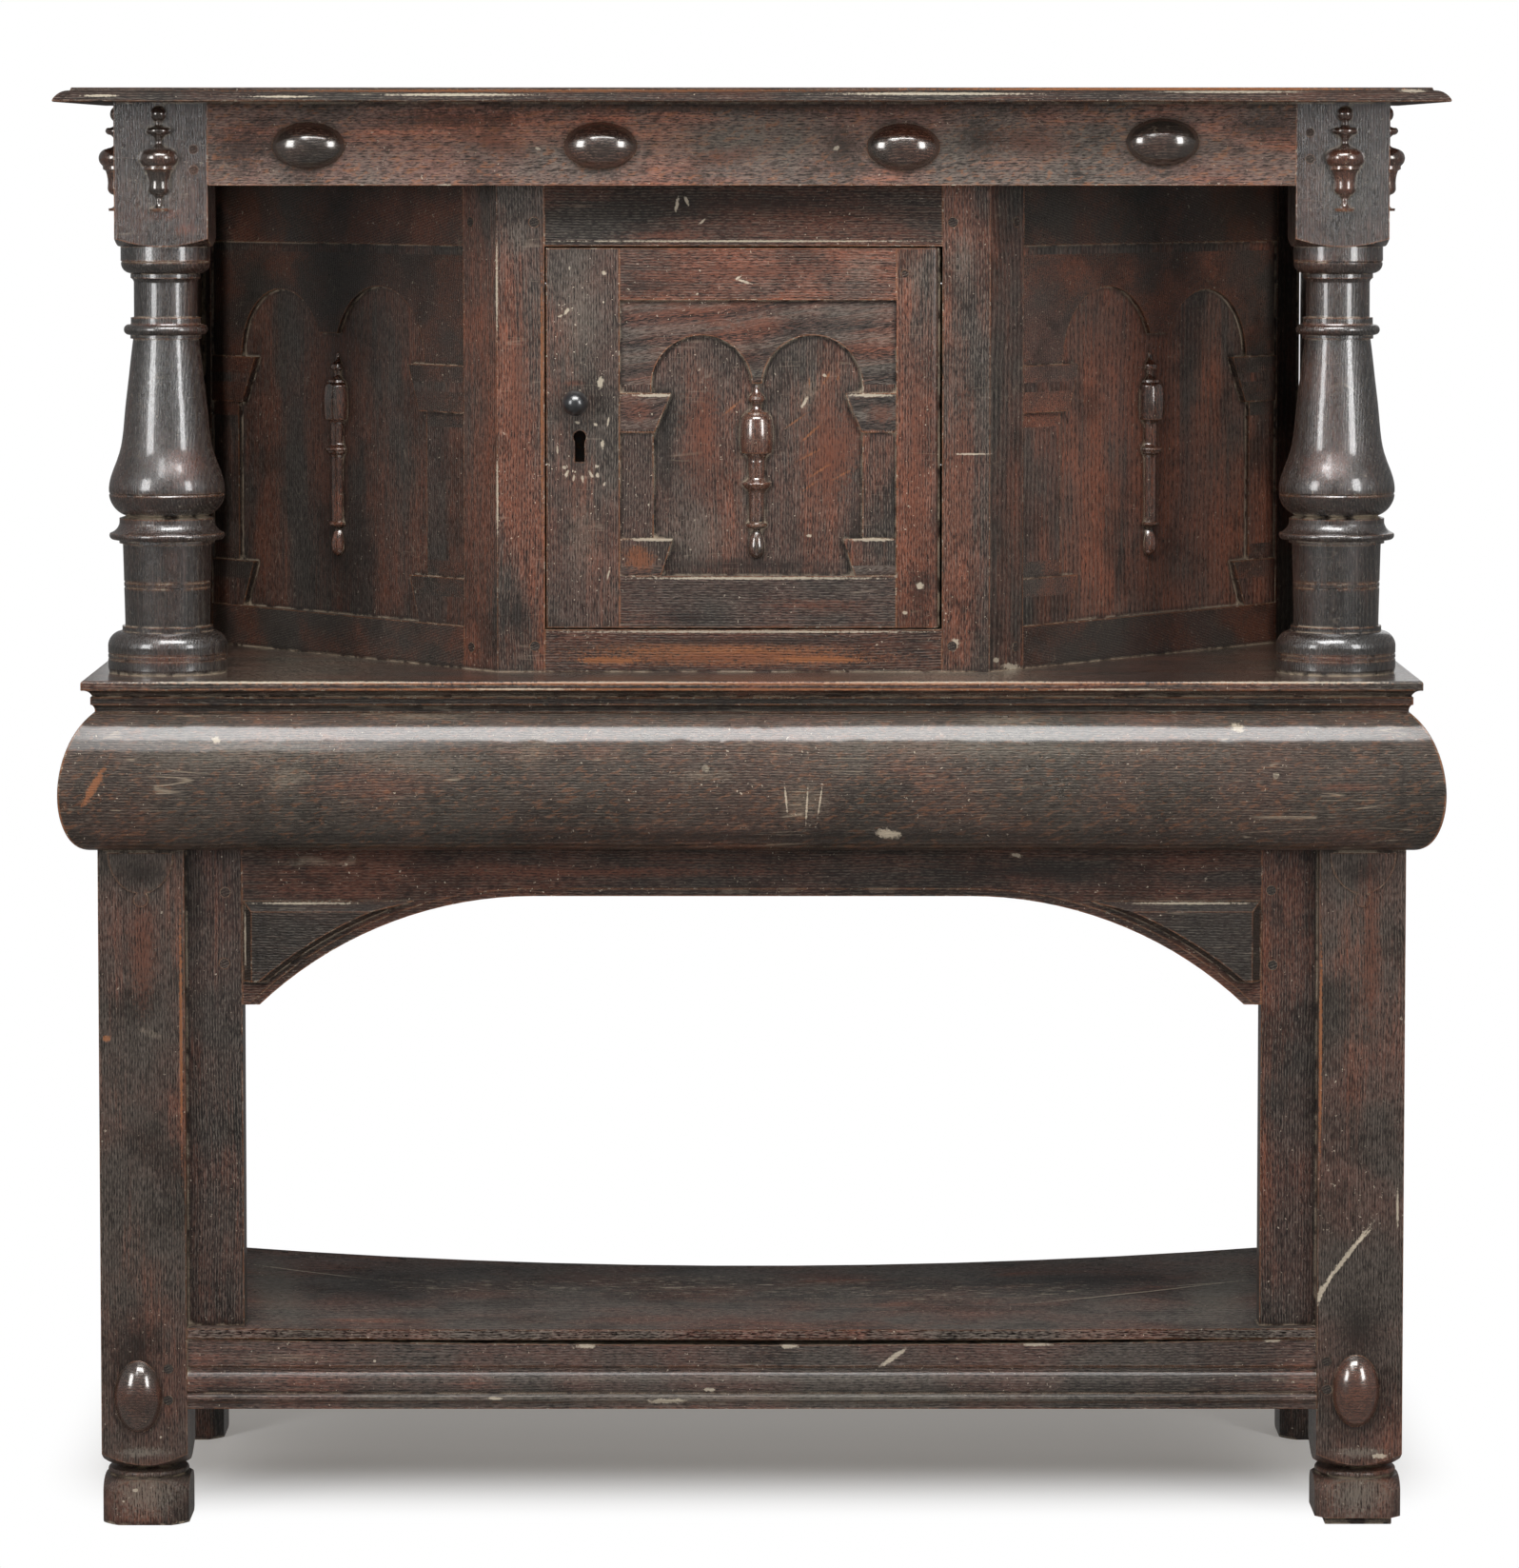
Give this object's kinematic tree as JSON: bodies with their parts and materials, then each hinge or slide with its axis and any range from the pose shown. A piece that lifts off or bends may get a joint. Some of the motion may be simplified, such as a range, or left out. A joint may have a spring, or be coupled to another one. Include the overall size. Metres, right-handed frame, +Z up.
{
  "type": "court cupboard",
  "caption": "Dark oak court cupboard: a splayed cupboard with an arcaded door between turned columns, over a cushion-fronted drawer, an arched apron and an open shelf.",
  "frame": {"origin": "on the floor under the middle of the outline seen from above", "axes": "+Z up; the front, with the door and drawer, faces -Y; +X is to the right of someone facing it"},
  "size_m": [1.154, 0.4539, 1.2],
  "materials": {
    "oak": "dark, waxed and worn",
    "ebonised_wood": "blackened and polished",
    "iron": "wrought, rubbed dark"
  },
  "bodies": {
    "case": {"apron_rail": "oak", "apron_stile_left": "oak", "apron_stile_right": "oak", "back_boards": "oak", "case_pegs": "oak", "case_sides": "oak", "column_left": "oak", "column_right": "oak", "corner_post_left": "oak", "corner_post_right": "oak", "cupboard_sill": "oak", "cupboard_top_rail": "oak", "drawer_rail": "oak", "drawer_runners": "oak", "foot_packing": "oak", "frieze_rail": "oak", "frieze_side_rails": "oak", "frieze_urns": "oak", "front_leg_left": "oak", "front_leg_right": "oak", "hinge_pins": "iron", "lower_back_rail": "oak", "mid_board": "oak", "mid_moulding": "oak", "oval_bosses": "oak", "rear_post_left": "oak", "rear_post_right": "oak", "shelf_board": "oak", "shelf_front_rail": "oak", "shelf_rear_rail": "oak", "shelf_side_rails": "oak", "side_cushion_left": "oak", "side_cushion_right": "oak", "spandrel_blocks": "oak", "splayed_arcade_left": "oak", "splayed_arcade_right": "oak", "splayed_panel_left": "oak", "splayed_panel_right": "oak", "splayed_pendants": "oak", "splayed_sills": "oak", "splayed_stiles": "oak", "splayed_top_rails": "oak", "top_board": "oak", "upper_back_rail": "oak"},
    "door": {"door_arcade": "oak", "door_bottom_rail": "oak", "door_hanging_stile": "oak", "door_knob": "ebonised_wood", "door_lock_stile": "oak", "door_panel": "oak", "door_pegs": "oak", "door_pendant": "oak", "door_top_rail": "oak", "lock_case": "iron"},
    "bolt": {"lock_bolt": "iron"},
    "drawer": {"drawer_back": "oak", "drawer_bottom": "oak", "drawer_cushion": "oak", "drawer_front": "oak", "drawer_sides": "oak"}
  },
  "joints": [
    {"name": "door_hinge", "type": "hinge", "parent": "case", "child": "door", "pos_m": [0.1505, -0.11, 0.7475], "axis": [0, 0, 1], "range_deg": [0, 95]},
    {"name": "lock_bolt_slide", "type": "slide", "parent": "door", "child": "bolt", "axis": [-1, 0, 0], "range_m": [0, 0.011]},
    {"name": "drawer_slide", "type": "slide", "parent": "case", "child": "drawer", "axis": [0, -1, 0], "range_m": [0, 0.3]}
  ]
}
